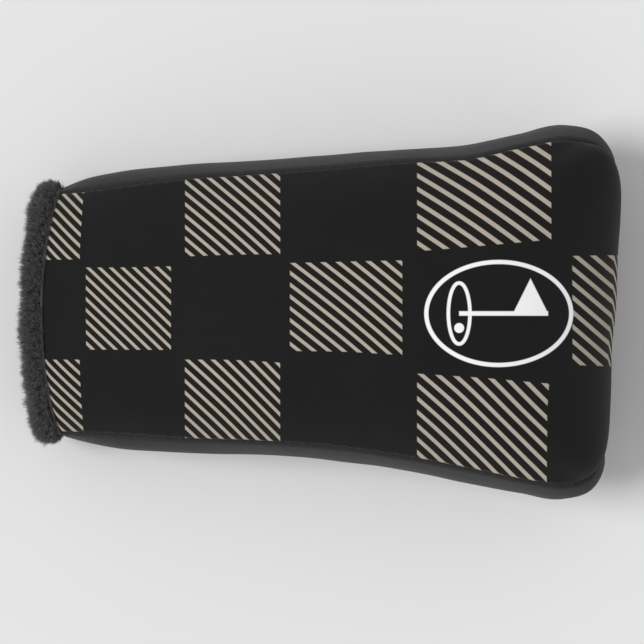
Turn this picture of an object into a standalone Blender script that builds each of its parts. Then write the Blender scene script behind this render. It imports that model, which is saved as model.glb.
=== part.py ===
"""Driver head cover: a sewn pocket of stretch sheet with a plush lining and a plush cuff.

The cover lies on its back panel. X runs from the mouth (-X) to the crown (+X), Y across it and Z up out of
the printed front panel. The origin is the middle of the base of the whole object's box.

Every panel is a loft: a flat grid is laid onto a surface that is stretched between the two seam lines, and
Solidify then gives it the cloth's thickness, inwards.
"""

import math

import bmesh
import bpy
import numpy as np

MM = 0.001

# Driving dimensions, in millimetres.
SHELL_THICKNESS = 3.0
LINING_THICKNESS = 5.0
LAYER_GAP = 1.0  # between the shell and the lining
SEAM_TRIM = 1.2  # a shell panel stops this far short of the seam line
LINING_TRIM = 4.2  # the same for a lining panel
SEAM_REACH = 78.0  # a panel's run from its middle to its seam, which turns a trim into a share of it
THREAD_RADIUS = 0.45
THREAD_END = 0.004  # a thread stops this share of the seam short of each mouth corner

POLE_X = 55.0  # the fullest section of the pocket, where the front panel is highest
POCKET_HEIGHT = 85.0
MOUTH_HEIGHT = 56.0
MOUTH_X = -112.5
MOUTH_BOW = 5.5  # how far the middle of the mouth's edge runs out past its corners
MOUTH_BOW_REACH = 30.0
CROWN_OVERHANG = 1.7  # the front panel's widest line stands this far outside its own seam
CROWN_RIM_RISE = 9.0  # and this far above it
DOME_POWER = 3.0
WRAP_POWER = 2.2
FLAT_SHARE = 0.6  # the share of the back panel's half width that lies flat

CROWN_START_X = 98.0  # between these the front panel turns from a dome into a wrap
CROWN_FULL_X = 122.0
RIM_SHARE = 0.9  # where, on the way from the pole to the seam, the wrap is widest

CUFF_LENGTH = 9.0  # how far the cuff stands out of the mouth, along X
CUFF_DEPTH = 13.0  # from the cuff's outside to its inside
CUFF_GAP = 1.5  # between the mouth's edge and the cuff, where the mouth's thread runs
CUFF_SQUARENESS = 0.85  # below 1 a cuff's section is squarer than an ellipse

LINE_SAMPLES = 3001  # points that the seam table's smooth curve is read from
OUTWARD_STEP = 0.004  # the share of the seam on each side that gives its direction
NORMAL_STEP = 0.02  # the share of a surface next to the seam that gives its slope there
MOUTH_SAMPLES = 200  # points across each panel, and up each side, that the mouth's loop is read from
MOUTH_SIDE_SAMPLES = 80
TORUS_SECTION = 0.25  # the torus that becomes the cuff has rings this wide before they are laid out

# The seam stations run from the mouth along the -Y side, round the crown and back along the +Y side:
# x, y, front seam height, back seam height, inset of the back seam, outward bulge of the gusset.
SEAM_STATIONS = (
    (-112.5, -52.0, 38.0, 14.0, 0.0, 1.2),
    (-101.0, -52.0, 41.5, 14.5, 0.0, 4.4),
    (-88.0, -52.3, 45.5, 15.0, 0.0, 6.3),
    (-60.0, -54.0, 52.0, 16.0, 0.0, 6.0),
    (-28.0, -54.8, 57.5, 17.5, 0.0, 6.0),
    (4.0, -56.8, 61.5, 19.0, 0.0, 6.3),
    (34.0, -60.8, 64.5, 20.0, 0.0, 6.2),
    (62.0, -66.0, 66.0, 20.0, 0.0, 6.3),
    (86.0, -70.8, 66.0, 19.5, 0.5, 6.5),
    (103.0, -73.0, 62.0, 17.5, 1.5, 7.4),
    (112.5, -70.6, 55.0, 15.0, 3.5, 8.0),
    (118.0, -64.6, 46.0, 12.5, 6.0, 7.0),
    (120.6, -54.0, 38.0, 11.0, 8.5, 4.2),
    (121.8, -36.0, 34.0, 10.0, 9.5, 3.0),
    (122.6, -16.0, 33.0, 10.0, 9.5, 3.0),
    (124.8, 4.0, 33.0, 10.0, 9.5, 3.0),
    (125.4, 24.0, 33.0, 10.0, 9.5, 3.0),
    (126.4, 42.0, 35.0, 10.0, 9.5, 3.0),
    (125.6, 56.0, 40.0, 11.0, 8.5, 4.2),
    (122.6, 65.0, 47.0, 12.5, 6.0, 7.0),
    (115.5, 70.9, 56.0, 15.0, 3.5, 8.6),
    (104.4, 73.2, 62.5, 17.5, 1.5, 8.0),
    (86.0, 70.4, 66.0, 19.5, 0.5, 6.4),
    (62.0, 65.2, 66.0, 20.0, 0.0, 6.6),
    (34.0, 63.8, 64.5, 20.0, 0.0, 6.2),
    (4.0, 61.4, 61.5, 19.0, 0.0, 6.2),
    (-28.0, 59.2, 57.5, 17.5, 0.0, 6.3),
    (-60.0, 57.4, 52.0, 16.0, 0.0, 6.4),
    (-88.0, 54.4, 45.5, 15.0, 0.0, 6.6),
    (-101.0, 52.8, 41.5, 14.5, 0.0, 5.4),
    (-112.5, 52.0, 38.0, 14.0, 0.0, 2.0),
)

# Grid sizes: even numbers across, so that a row of points runs down the middle.
ACROSS = 16
ALONG_SIDE = 13
GUSSET_ALONG = 72
GUSSET_ACROSS = 4
THREAD_POINTS = 66
CUFF_AROUND = 48
CUFF_SECTION = 10


def smooth_curve(stations, samples):
    """A cubic through the stations, by their spacing, resampled evenly along its XY path."""
    points = np.array(stations, float)
    knots = np.concatenate(([0.0], np.cumsum(np.linalg.norm(np.diff(points[:, :2], axis=0), axis=1))))
    gaps = np.diff(knots)
    slopes = np.diff(points, axis=0) / gaps[:, None]
    tangents = np.empty_like(points)
    weight = (gaps[:-1] / (gaps[:-1] + gaps[1:]))[:, None]
    tangents[1:-1] = slopes[:-1] * (1 - weight) + slopes[1:] * weight
    tangents[0] = slopes[0]
    tangents[-1] = slopes[-1]

    def at(s):
        s = np.clip(np.asarray(s, float), 0.0, knots[-1])
        i = np.clip(np.searchsorted(knots, s, side="right") - 1, 0, len(gaps) - 1)
        t = ((s - knots[i]) / gaps[i])[..., None]
        g = gaps[i][..., None]
        start = (2 * t**3 - 3 * t**2 + 1) * points[i] + (t**3 - 2 * t**2 + t) * g * tangents[i]
        return start + (3 * t**2 - 2 * t**3) * points[i + 1] + (t**3 - t**2) * g * tangents[i + 1]

    fine = at(np.linspace(0.0, knots[-1], samples))
    path = np.concatenate(([0.0], np.cumsum(np.linalg.norm(np.diff(fine[:, :2], axis=0), axis=1))))
    even = np.linspace(0.0, path[-1], samples)
    return np.stack([np.interp(even, path, fine[:, k]) for k in range(fine.shape[1])], axis=1)


LINE = smooth_curve(SEAM_STATIONS, LINE_SAMPLES)
LINE_S = np.linspace(0.0, 1.0, len(LINE))


def line_at(s):
    """The seam table's smooth values at s, 0 to 1 along the U from one mouth corner to the other."""
    return np.stack([np.interp(s, LINE_S, LINE[:, k]) for k in range(LINE.shape[1])], axis=-1)


def outward(s):
    """The level direction out of the cover at s."""
    ahead = line_at(np.minimum(s + OUTWARD_STEP, 1.0))[..., :2]
    behind = line_at(np.maximum(s - OUTWARD_STEP, 0.0))[..., :2]
    along = ahead - behind
    normal = np.stack([along[..., 1], -along[..., 0]], axis=-1)
    return normal / np.linalg.norm(normal, axis=-1, keepdims=True)


def front_seam(s):
    return line_at(s)[..., :3]


def back_seam(s):
    row = line_at(s)
    plan = row[..., :2] - outward(s) * row[..., 4:5]
    return np.concatenate([plan, row[..., 3:4]], axis=-1)


def side_s(x, upper):
    """Where the seam line crosses the section at x, on the -Y side or the +Y side."""
    half = len(LINE) // 2
    if upper:
        return np.interp(x, LINE[::-1][:half, 0], LINE_S[::-1][:half])
    return np.interp(x, LINE[:half, 0], LINE_S[:half])


def smooth_step(value):
    t = np.clip(value, 0.0, 1.0)
    return t * t * (3 - 2 * t)


def crown_share(s):
    """0 on the long sides and 1 round the crown."""
    return smooth_step((line_at(s)[..., 0] - CROWN_START_X) / (CROWN_FULL_X - CROWN_START_X))


def spine(x):
    """The cover's middle line on its upper face at x: the middle between the seams, and the height."""
    low = line_at(side_s(x, False))[..., 1]
    high = line_at(side_s(x, True))[..., 1]
    share = np.clip((x - MOUTH_X) / (POLE_X - MOUTH_X), 0.0, 1.0)
    height = MOUTH_HEIGHT + (POCKET_HEIGHT - MOUTH_HEIGHT) * np.sin(share * math.pi / 2)
    return np.stack([x, (low + high) / 2, height], axis=-1)


def mouth_bow(x, rho):
    return MOUTH_BOW * np.exp(-(((x - MOUTH_X) / MOUTH_BOW_REACH) ** 2)) * (1 - rho**2)


def front_point(s, rho):
    """The shell's outside on the front panel, rho from 0 on the middle line to 1 on the seam."""
    seam = front_seam(s)
    middle = spine(np.minimum(seam[..., 0], POLE_X))
    r = rho[..., None]
    dome = middle + (seam - middle) * r
    dome[..., 0] -= mouth_bow(seam[..., 0], rho)
    dome[..., 2] = seam[..., 2] + (middle[..., 2] - seam[..., 2]) * (1 - rho**DOME_POWER)

    share = crown_share(s)[..., None]
    rim = seam.copy()
    rim[..., :2] += outward(s) * CROWN_OVERHANG
    rim[..., 2:] += CROWN_RIM_RISE * share
    turn = np.clip(rho / RIM_SHARE, 0.0, 1.0) * math.pi / 2
    reach = np.sin(turn) ** (2 / WRAP_POWER)
    lift = np.clip(np.cos(turn), 0.0, 1.0) ** (2 / WRAP_POWER)
    wrap = middle + (rim - middle) * reach[..., None]
    wrap[..., 2] = rim[..., 2] + (middle[..., 2] - rim[..., 2]) * lift
    under = np.clip((rho - RIM_SHARE) / (1 - RIM_SHARE), 0.0, 1.0)
    wrap[..., :2] += (seam - rim)[..., :2] * (under**2)[..., None]
    wrap[..., 2] += (seam - rim)[..., 2] * under
    return dome * (1 - share) + wrap * share


def back_point(s, rho):
    """The shell's outside on the back panel: flat, then curling up to the seam."""
    seam = back_seam(s)
    middle = spine(np.minimum(seam[..., 0], POLE_X))
    point = middle + (seam - middle) * rho[..., None]
    point[..., 0] -= mouth_bow(seam[..., 0], rho)
    curl = np.clip((rho - FLAT_SHARE) / (1 - FLAT_SHARE), 0.0, 1.0)
    point[..., 2] = seam[..., 2] * curl**2
    return point


def gusset_point(s, t, trim):
    """The shell's outside on the gusset, t from 0 at the back seam to 1 at the front seam."""
    low = back_seam(s)
    high = front_seam(s)
    height = np.linalg.norm(high - low, axis=-1)
    share = ((trim + (height - 2 * trim) * t) / height)[..., None]
    point = low + (high - low) * share
    point[..., :2] += outward(s) * line_at(s)[..., 5:6] * 4 * share * (1 - share)
    return point


def panel_grid(u, v):
    """Seam place and rho of the panel's grid point (u, v): straight sections, then rings round the pole."""
    cap = ACROSS // 2
    column = u * (ALONG_SIDE + cap)
    x = MOUTH_X + (POLE_X - MOUTH_X) * np.clip(column / ALONG_SIDE, 0.0, 1.0)
    side = np.where(v > 0, side_s(x, True), side_s(x, False))
    a = np.clip((column - ALONG_SIDE) / cap, 0.0, 1.0)
    ring = np.maximum(np.maximum(a, np.abs(v)), 1e-9)
    walked = np.where(np.abs(v) >= a, np.where(v > 0, 4 * ring - a, a), 2 * ring + v)
    start = side_s(POLE_X, False)
    end = side_s(POLE_X, True)
    round_crown = start + (end - start) * walked / (4 * ring)
    in_cap = column > ALONG_SIDE + 1e-6
    return np.where(in_cap, round_crown, side), np.where(in_cap, ring, np.abs(v))


def grid_object(name, columns, rows, place, inset, thickness, flip=False):
    """A grid laid by place(u, v), u 0 to 1 and v -1 to 1, moved inwards by inset and given thickness."""
    mesh = bpy.data.meshes.new(name)
    bm = bmesh.new()
    bmesh.ops.create_grid(bm, x_segments=columns, y_segments=rows, size=1.0)
    bm.verts.ensure_lookup_table()
    flat = np.array([vertex.co[:2] for vertex in bm.verts])
    points = place((flat[:, 0] + 1) / 2, flat[:, 1]) * MM
    for vertex, point in zip(bm.verts, points):
        vertex.co = point
    if flip:
        bmesh.ops.reverse_faces(bm, faces=bm.faces)
    bm.normal_update()
    for vertex, normal in [(vertex, vertex.normal.copy()) for vertex in bm.verts]:
        vertex.co -= normal * inset * MM
    for face in bm.faces:
        face.smooth = True
    bm.to_mesh(mesh)
    bm.free()
    obj = bpy.data.objects.new(name, mesh)
    solid = obj.modifiers.new("thickness", "SOLIDIFY")
    solid.thickness = thickness * MM
    solid.offset = -1.0
    return obj


def panel(name, surface, trim, inset, thickness, flip):
    """A front or back panel of the shell or the lining, cut short of the seam by trim.

    The outermost ring lies on the straight line between the ring inside it and the shell's edge, so that
    the facets of the lining stay parallel to the shell's.
    """
    last_ring = 1 - 2 / ACROSS
    shell_edge = 1 - SEAM_TRIM / SEAM_REACH
    share = (1 - trim / SEAM_REACH - last_ring) / (shell_edge - last_ring)

    def place(u, v):
        s, rho = panel_grid(u, v)
        inner = surface(s, np.minimum(rho, last_ring))
        outer = surface(s, np.minimum(rho, shell_edge))
        return inner + (outer - inner) * share

    return grid_object(name, ALONG_SIDE + ACROSS // 2, ACROSS, place, inset, thickness, flip)


def gusset(name, trim, inset, thickness):
    def place(u, v):
        return gusset_point(u, (v + 1) / 2, trim)

    return grid_object(name, GUSSET_ALONG, GUSSET_ACROSS, place, inset, thickness)


def unit(vectors):
    return vectors / np.linalg.norm(vectors, axis=-1, keepdims=True)


def seam_normal(s, surface, gusset_end):
    """The shell's outward direction on a seam, between the panel's and the gusset's."""
    near = NORMAL_STEP
    ones = np.ones_like(s)
    seam = surface(s, ones)
    from_panel = unit(seam - surface(s, ones - near))
    to_gusset = unit(gusset_point(s, ones * abs(gusset_end - near), 0.0) - seam)
    ahead = np.minimum(s + near / 10, 1.0)
    behind = np.maximum(s - near / 10, 0.0)
    along = unit(surface(ahead, ones) - surface(behind, ones))
    normal = unit(np.cross(from_panel + to_gusset, along))
    facing = np.sum(normal[..., :2] * outward(s), axis=-1, keepdims=True)
    return normal * np.sign(facing)


def mouth_loop(samples):
    """The closed edge of the shell's mouth, evenly spaced, and its inward directions across X."""
    across = np.linspace(-1.0, 1.0, MOUTH_SAMPLES)
    ends = np.where(across > 0, 1.0, 0.0)
    front = front_point(ends, np.abs(across))
    back = back_point(ends, np.abs(across))[::-1]
    rise = np.linspace(0.0, 1.0, MOUTH_SIDE_SAMPLES)[1:-1]
    high_side = gusset_point(np.ones_like(rise), rise, 0.0)[::-1]
    low_side = gusset_point(np.zeros_like(rise), rise, 0.0)
    loop = np.concatenate([front, high_side, back, low_side])
    closed = np.concatenate([loop, loop[:1]])
    path = np.concatenate(([0.0], np.cumsum(np.linalg.norm(np.diff(closed, axis=0), axis=1))))
    even = np.linspace(0.0, path[-1], samples, endpoint=False)
    points = np.stack([np.interp(even, path, closed[:, k]) for k in range(3)], axis=1)
    along = np.roll(points, -1, axis=0) - np.roll(points, 1, axis=0)
    inward = np.stack([np.zeros(samples), along[:, 2], -along[:, 1]], axis=1)
    return points, inward / np.linalg.norm(inward, axis=1, keepdims=True)


def thread(name, points, closed=False):
    """A thread as a tube along points."""
    curve = bpy.data.curves.new(name, "CURVE")
    curve.dimensions = "3D"
    curve.bevel_depth = THREAD_RADIUS * MM
    curve.bevel_resolution = 2
    curve.use_fill_caps = not closed
    spline = curve.splines.new("POLY")
    spline.points.add(len(points) - 1)
    for spot, point in zip(spline.points, points):
        spot.co = (*(point * MM), 1.0)
    spline.use_cyclic_u = closed
    spline.use_smooth = True
    return bpy.data.objects.new(name, curve)


def seam_thread(name, surface, gusset_end, depth):
    """The thread in the gap of a seam, depth below the shell's outside."""
    s = np.linspace(THREAD_END, 1 - THREAD_END, THREAD_POINTS)
    seam = surface(s, np.ones_like(s))
    return thread(name, seam - seam_normal(s, surface, gusset_end) * depth)


def mouth_thread():
    points, inward = mouth_loop(THREAD_POINTS)
    points = points + inward * SHELL_THICKNESS / 2
    points[:, 0] -= CUFF_GAP / 2
    return thread("mouth_seam_thread", points, closed=True)


def plush_cuff():
    """A torus whose rings are laid round the mouth's loop, flat where it lies on the surface."""
    bpy.ops.mesh.primitive_torus_add(
        major_segments=CUFF_AROUND,
        minor_segments=CUFF_SECTION,
        major_radius=1.0,
        minor_radius=TORUS_SECTION,
    )
    obj = bpy.context.object
    obj.name = "plush_cuff"
    obj.data.name = "plush_cuff"
    bpy.context.collection.objects.unlink(obj)
    loop, inward = mouth_loop(CUFF_AROUND)
    for vertex in obj.data.vertices:
        x, y, z = vertex.co
        ring = round(math.atan2(y, x) / math.tau * CUFF_AROUND) % CUFF_AROUND
        turn = math.atan2(z, math.hypot(x, y) - 1.0)
        across = math.copysign(abs(math.cos(turn)) ** CUFF_SQUARENESS, math.cos(turn))
        along = math.copysign(abs(math.sin(turn)) ** CUFF_SQUARENESS, math.sin(turn))
        centre = loop[ring] + inward[ring] * CUFF_DEPTH / 2
        centre[0] -= CUFF_GAP + CUFF_LENGTH / 2
        point = centre - inward[ring] * across * CUFF_DEPTH / 2
        point[0] -= along * CUFF_LENGTH / 2
        vertex.co = point * MM
    for polygon in obj.data.polygons:
        polygon.use_smooth = True
    obj.data.update()
    return obj


def material(name, colour, roughness):
    mat = bpy.data.materials.new(name)
    mat.use_nodes = True
    shader = mat.node_tree.nodes["Principled BSDF"]
    shader.inputs["Base Color"].default_value = (*colour, 1.0)
    shader.inputs["Roughness"].default_value = roughness
    shader.inputs["Metallic"].default_value = 0.0
    return mat


def main():
    for obj in list(bpy.data.objects):
        bpy.data.objects.remove(obj)
    parts = bpy.data.collections.new("driver_head_cover")
    bpy.context.scene.collection.children.link(parts)

    lining_inset = SHELL_THICKNESS + LAYER_GAP
    thread_depth = lining_inset + THREAD_RADIUS
    front = (front_point, 1.0)
    back = (back_point, 0.0)
    shell = (SEAM_TRIM, 0.0, SHELL_THICKNESS)
    lining = (LINING_TRIM, lining_inset, LINING_THICKNESS)
    plush = (0.040, 0.037, 0.040)
    sewing = (0.030, 0.030, 0.032)
    pieces = (
        (panel("front_panel", front_point, *shell, False), (0.016, 0.015, 0.015), 0.70),
        (panel("back_panel", back_point, *shell, True), (0.016, 0.015, 0.015), 0.72),
        (gusset("side_gusset", *shell), (0.040, 0.041, 0.043), 0.85),
        (panel("front_lining", front_point, *lining, False), plush, 0.95),
        (panel("back_lining", back_point, *lining, True), plush, 0.95),
        (gusset("gusset_lining", *lining), plush, 0.95),
        (plush_cuff(), plush, 0.95),
        (mouth_thread(), sewing, 0.6),
        (seam_thread("front_seam_thread", *front, 0.0), sewing, 0.6),
        (seam_thread("back_seam_thread", *back, 0.0), sewing, 0.6),
        (seam_thread("front_lining_seam_thread", *front, thread_depth), sewing, 0.6),
        (seam_thread("back_lining_seam_thread", *back, thread_depth), sewing, 0.6),
    )
    for obj, colour, roughness in pieces:
        parts.objects.link(obj)
        obj.data.materials.append(material(obj.name, colour, roughness))


main()
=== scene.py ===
"""The looks of the driver head cover: hatched print, brushed gusset, sewn seams and a plush cuff and lining.

Lengths in the tables and constants are millimetres, in the row's frame; MM turns them into metres.
"""

import math

import bpy
import numpy as np
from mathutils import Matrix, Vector, kdtree, noise


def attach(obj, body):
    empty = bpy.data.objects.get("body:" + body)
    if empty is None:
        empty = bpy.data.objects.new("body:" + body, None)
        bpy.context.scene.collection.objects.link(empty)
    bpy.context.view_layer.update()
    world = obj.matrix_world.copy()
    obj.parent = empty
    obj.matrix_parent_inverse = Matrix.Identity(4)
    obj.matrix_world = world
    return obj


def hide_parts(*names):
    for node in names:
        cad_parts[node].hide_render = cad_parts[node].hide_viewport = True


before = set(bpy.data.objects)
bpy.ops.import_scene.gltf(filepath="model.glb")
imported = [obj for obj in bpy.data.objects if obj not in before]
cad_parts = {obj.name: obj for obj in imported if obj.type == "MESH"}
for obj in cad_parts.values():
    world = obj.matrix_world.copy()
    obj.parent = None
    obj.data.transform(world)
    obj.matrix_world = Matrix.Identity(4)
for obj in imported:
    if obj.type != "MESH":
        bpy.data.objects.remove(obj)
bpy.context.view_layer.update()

MM = 0.001
BODY = "root"

# ---------------------------------------------------------------------------------------------------------
# The cover's shape, which repeats the CAD's: seam stations, then the surfaces stretched between them.

SHELL_THICKNESS = 3.0
POLE_X = 55.0
POCKET_HEIGHT = 85.0
MOUTH_HEIGHT = 56.0
MOUTH_X = -112.5
MOUTH_BOW = 5.5
MOUTH_BOW_REACH = 30.0
CROWN_OVERHANG = 1.7
CROWN_RIM_RISE = 9.0
DOME_POWER = 3.0
WRAP_POWER = 2.2
FLAT_SHARE = 0.6
CROWN_START_X = 98.0
CROWN_FULL_X = 122.0
RIM_SHARE = 0.9
OUTWARD_STEP = 0.004
SEAM_CURVE_POINTS = 8001

# x, y, front seam height, back seam height, inset of the back seam, outward bulge of the gusset.
SEAM_STATIONS = (
    (-112.5, -52.0, 38.0, 14.0, 0.0, 1.2),
    (-101.0, -52.0, 41.5, 14.5, 0.0, 4.4),
    (-88.0, -52.3, 45.5, 15.0, 0.0, 6.3),
    (-60.0, -54.0, 52.0, 16.0, 0.0, 6.0),
    (-28.0, -54.8, 57.5, 17.5, 0.0, 6.0),
    (4.0, -56.8, 61.5, 19.0, 0.0, 6.3),
    (34.0, -60.8, 64.5, 20.0, 0.0, 6.2),
    (62.0, -66.0, 66.0, 20.0, 0.0, 6.3),
    (86.0, -70.8, 66.0, 19.5, 0.5, 6.5),
    (103.0, -73.0, 62.0, 17.5, 1.5, 7.4),
    (112.5, -70.6, 55.0, 15.0, 3.5, 8.0),
    (118.0, -64.6, 46.0, 12.5, 6.0, 7.0),
    (120.6, -54.0, 38.0, 11.0, 8.5, 4.2),
    (121.8, -36.0, 34.0, 10.0, 9.5, 3.0),
    (122.6, -16.0, 33.0, 10.0, 9.5, 3.0),
    (124.8, 4.0, 33.0, 10.0, 9.5, 3.0),
    (125.4, 24.0, 33.0, 10.0, 9.5, 3.0),
    (126.4, 42.0, 35.0, 10.0, 9.5, 3.0),
    (125.6, 56.0, 40.0, 11.0, 8.5, 4.2),
    (122.6, 65.0, 47.0, 12.5, 6.0, 7.0),
    (115.5, 70.9, 56.0, 15.0, 3.5, 8.6),
    (104.4, 73.2, 62.5, 17.5, 1.5, 8.0),
    (86.0, 70.4, 66.0, 19.5, 0.5, 6.4),
    (62.0, 65.2, 66.0, 20.0, 0.0, 6.6),
    (34.0, 63.8, 64.5, 20.0, 0.0, 6.2),
    (4.0, 61.4, 61.5, 19.0, 0.0, 6.2),
    (-28.0, 59.2, 57.5, 17.5, 0.0, 6.3),
    (-60.0, 57.4, 52.0, 16.0, 0.0, 6.4),
    (-88.0, 54.4, 45.5, 15.0, 0.0, 6.6),
    (-101.0, 52.8, 41.5, 14.5, 0.0, 5.4),
    (-112.5, 52.0, 38.0, 14.0, 0.0, 2.0),
)


def unit(vectors):
    return vectors / np.linalg.norm(vectors, axis=-1, keepdims=True)


def walked_length(line):
    """How far along a line each of its points lies."""
    return np.concatenate(([0.0], np.cumsum(np.linalg.norm(np.diff(line, axis=0), axis=1))))


def read_along(marks, path, values):
    """The values at each mark, which lie at path along their line."""
    return np.stack([np.interp(marks, path, values[:, k]) for k in range(3)], axis=1)


class SeamLine:
    """A smooth cubic through the seam stations, read by the share of its plan length."""

    def __init__(self, stations):
        self.points = np.array(stations, float)
        self.knots = walked_length(self.points[:, :2])
        self.gaps = np.diff(self.knots)
        slopes = np.diff(self.points, axis=0) / self.gaps[:, None]
        weight = (self.gaps[:-1] / (self.gaps[:-1] + self.gaps[1:]))[:, None]
        inner = slopes[:-1] * (1 - weight) + slopes[1:] * weight
        self.tangents = np.concatenate([slopes[:1], inner, slopes[-1:]])
        fine = np.linspace(0.0, self.knots[-1], SEAM_CURVE_POINTS)
        plan = self.cubic(fine)[:, :2]
        path = walked_length(plan)
        self.length = path[-1]
        self.share_of_knot = path / path[-1]
        self.fine_knots = fine
        self.fine_x = plan[:, 0]

    def cubic(self, knot):
        i = np.clip(np.searchsorted(self.knots, knot, side="right") - 1, 0, len(self.gaps) - 1)
        t = ((knot - self.knots[i]) / self.gaps[i])[..., None]
        gap = self.gaps[i][..., None]
        start = (2 * t**3 - 3 * t**2 + 1) * self.points[i] + (t**3 - 2 * t**2 + t) * gap * self.tangents[i]
        end = (3 * t**2 - 2 * t**3) * self.points[i + 1] + (t**3 - t**2) * gap * self.tangents[i + 1]
        return start + end

    def at(self, s):
        return self.cubic(np.interp(s, self.share_of_knot, self.fine_knots))

    def share_at_x(self, x, upper):
        half = len(self.fine_x) // 2
        if upper:
            return np.interp(x, self.fine_x[::-1][:half], self.share_of_knot[::-1][:half])
        return np.interp(x, self.fine_x[:half], self.share_of_knot[:half])


SEAM = SeamLine(SEAM_STATIONS)


def outward(s):
    """The level direction out of the cover at s."""
    ahead = SEAM.at(np.minimum(s + OUTWARD_STEP, 1.0))[..., :2]
    behind = SEAM.at(np.maximum(s - OUTWARD_STEP, 0.0))[..., :2]
    along = ahead - behind
    return unit(np.stack([along[..., 1], -along[..., 0]], axis=-1))


def smooth_step(value):
    t = np.clip(value, 0.0, 1.0)
    return t * t * (3 - 2 * t)


def crown_share(s):
    return smooth_step((SEAM.at(s)[..., 0] - CROWN_START_X) / (CROWN_FULL_X - CROWN_START_X))


def front_seam(s):
    return SEAM.at(s)[..., :3]


def back_seam(s):
    row = SEAM.at(s)
    plan = row[..., :2] - outward(s) * row[..., 4:5]
    return np.concatenate([plan, row[..., 3:4]], axis=-1)


def spine(x):
    low = SEAM.at(SEAM.share_at_x(x, False))[..., 1]
    high = SEAM.at(SEAM.share_at_x(x, True))[..., 1]
    share = np.clip((x - MOUTH_X) / (POLE_X - MOUTH_X), 0.0, 1.0)
    height = MOUTH_HEIGHT + (POCKET_HEIGHT - MOUTH_HEIGHT) * np.sin(share * math.pi / 2)
    return np.stack([x, (low + high) / 2, height], axis=-1)


def mouth_bow(x, rho):
    return MOUTH_BOW * np.exp(-(((x - MOUTH_X) / MOUTH_BOW_REACH) ** 2)) * (1 - rho**2)


def front_point(s, rho):
    """The front panel's outside, rho from 0 on the middle line to 1 on the seam."""
    seam = front_seam(s)
    middle = spine(np.minimum(seam[..., 0], POLE_X))
    dome = middle + (seam - middle) * rho[..., None]
    dome[..., 0] -= mouth_bow(seam[..., 0], rho)
    dome[..., 2] = seam[..., 2] + (middle[..., 2] - seam[..., 2]) * (1 - rho**DOME_POWER)

    share = crown_share(s)[..., None]
    rim = seam.copy()
    rim[..., :2] += outward(s) * CROWN_OVERHANG
    rim[..., 2:] += CROWN_RIM_RISE * share
    turn = np.clip(rho / RIM_SHARE, 0.0, 1.0) * math.pi / 2
    reach = np.sin(turn) ** (2 / WRAP_POWER)
    lift = np.clip(np.cos(turn), 0.0, 1.0) ** (2 / WRAP_POWER)
    wrap = middle + (rim - middle) * reach[..., None]
    wrap[..., 2] = rim[..., 2] + (middle[..., 2] - rim[..., 2]) * lift
    under = np.clip((rho - RIM_SHARE) / (1 - RIM_SHARE), 0.0, 1.0)
    wrap[..., :2] += (seam - rim)[..., :2] * (under**2)[..., None]
    wrap[..., 2] += (seam - rim)[..., 2] * under
    return dome * (1 - share) + wrap * share


def back_point(s, rho):
    """The back panel's outside: flat, then curling up to the seam."""
    seam = back_seam(s)
    middle = spine(np.minimum(seam[..., 0], POLE_X))
    point = middle + (seam - middle) * rho[..., None]
    point[..., 0] -= mouth_bow(seam[..., 0], rho)
    curl = np.clip((rho - FLAT_SHARE) / (1 - FLAT_SHARE), 0.0, 1.0)
    point[..., 2] = seam[..., 2] * curl**2
    return point


def gusset_point(s, t):
    """The gusset's outside, t from 0 at the back seam to 1 at the front seam."""
    low = back_seam(s)
    high = front_seam(s)
    point = low + (high - low) * t[..., None]
    point[..., :2] += outward(s) * (SEAM.at(s)[..., 5] * 4 * t * (1 - t))[..., None]
    return point


# ---------------------------------------------------------------------------------------------------------
# Grids: arrays of points, their normals, and what is done to them before they become meshes.

COLUMN_CROWDING = 1.25  # above 1, a panel's columns crowd towards the mouth
ROW_CROWDING = 1.6  # and its rows towards the seam
GUSSET_CROWDING = 0.75  # the same for the gusset's rows, from 0 to 1
EASING_KEPT = 0.4  # how much of its own place a point keeps in one round of easing
EASING_DRAWN = 0.15  # and how much it takes of each of its four neighbours'


def panel_grid(surface, along, across, crowd=ROW_CROWDING):
    """A panel's points as (columns, rows, 3): straight sections, then square rings round the pole.

    The rows crowd towards the seam and the columns towards the mouth, where the cloth turns.
    """
    cap = across // 2
    column = np.arange(along + cap + 1, dtype=float)[:, None]
    v = np.linspace(-1.0, 1.0, across + 1)[None, :]
    column, v = np.broadcast_arrays(column, v)
    x = MOUTH_X + (POLE_X - MOUTH_X) * np.clip(column / along, 0.0, 1.0) ** COLUMN_CROWDING
    side = np.where(v > 0, SEAM.share_at_x(x, True), SEAM.share_at_x(x, False))
    a = np.clip((column - along) / cap, 0.0, 1.0)
    ring = np.maximum(np.maximum(a, np.abs(v)), 1e-9)
    walked = np.where(np.abs(v) >= a, np.where(v > 0, 4 * ring - a, a), 2 * ring + v)
    start = SEAM.share_at_x(POLE_X, False)
    end = SEAM.share_at_x(POLE_X, True)
    in_cap = column > along
    s = np.where(in_cap, start + (end - start) * walked / (4 * ring), side)
    rho = np.where(in_cap, ring, np.abs(v))
    rho = 1 - (1 - np.minimum(rho, 1.0)) ** crowd
    return surface(s, rho)


def gusset_grid(along, across):
    s = np.linspace(0.0, 1.0, along + 1)[:, None]
    t = np.linspace(0.0, 1.0, across + 1)[None, :]
    crowded = t - np.sin(2 * math.pi * t) / (2 * math.pi) * GUSSET_CROWDING
    s, crowded = np.broadcast_arrays(s, crowded)
    return gusset_point(s, crowded)


def relaxed(points, rounds):
    """The grid with its inner points drawn towards their neighbours' middle, its edges kept."""
    points = points.copy()
    for _ in range(rounds):
        around = points[1:-1, 2:] + points[1:-1, :-2] + points[2:, 1:-1] + points[:-2, 1:-1]
        points[1:-1, 1:-1] = points[1:-1, 1:-1] * EASING_KEPT + around * EASING_DRAWN
    return points


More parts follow.
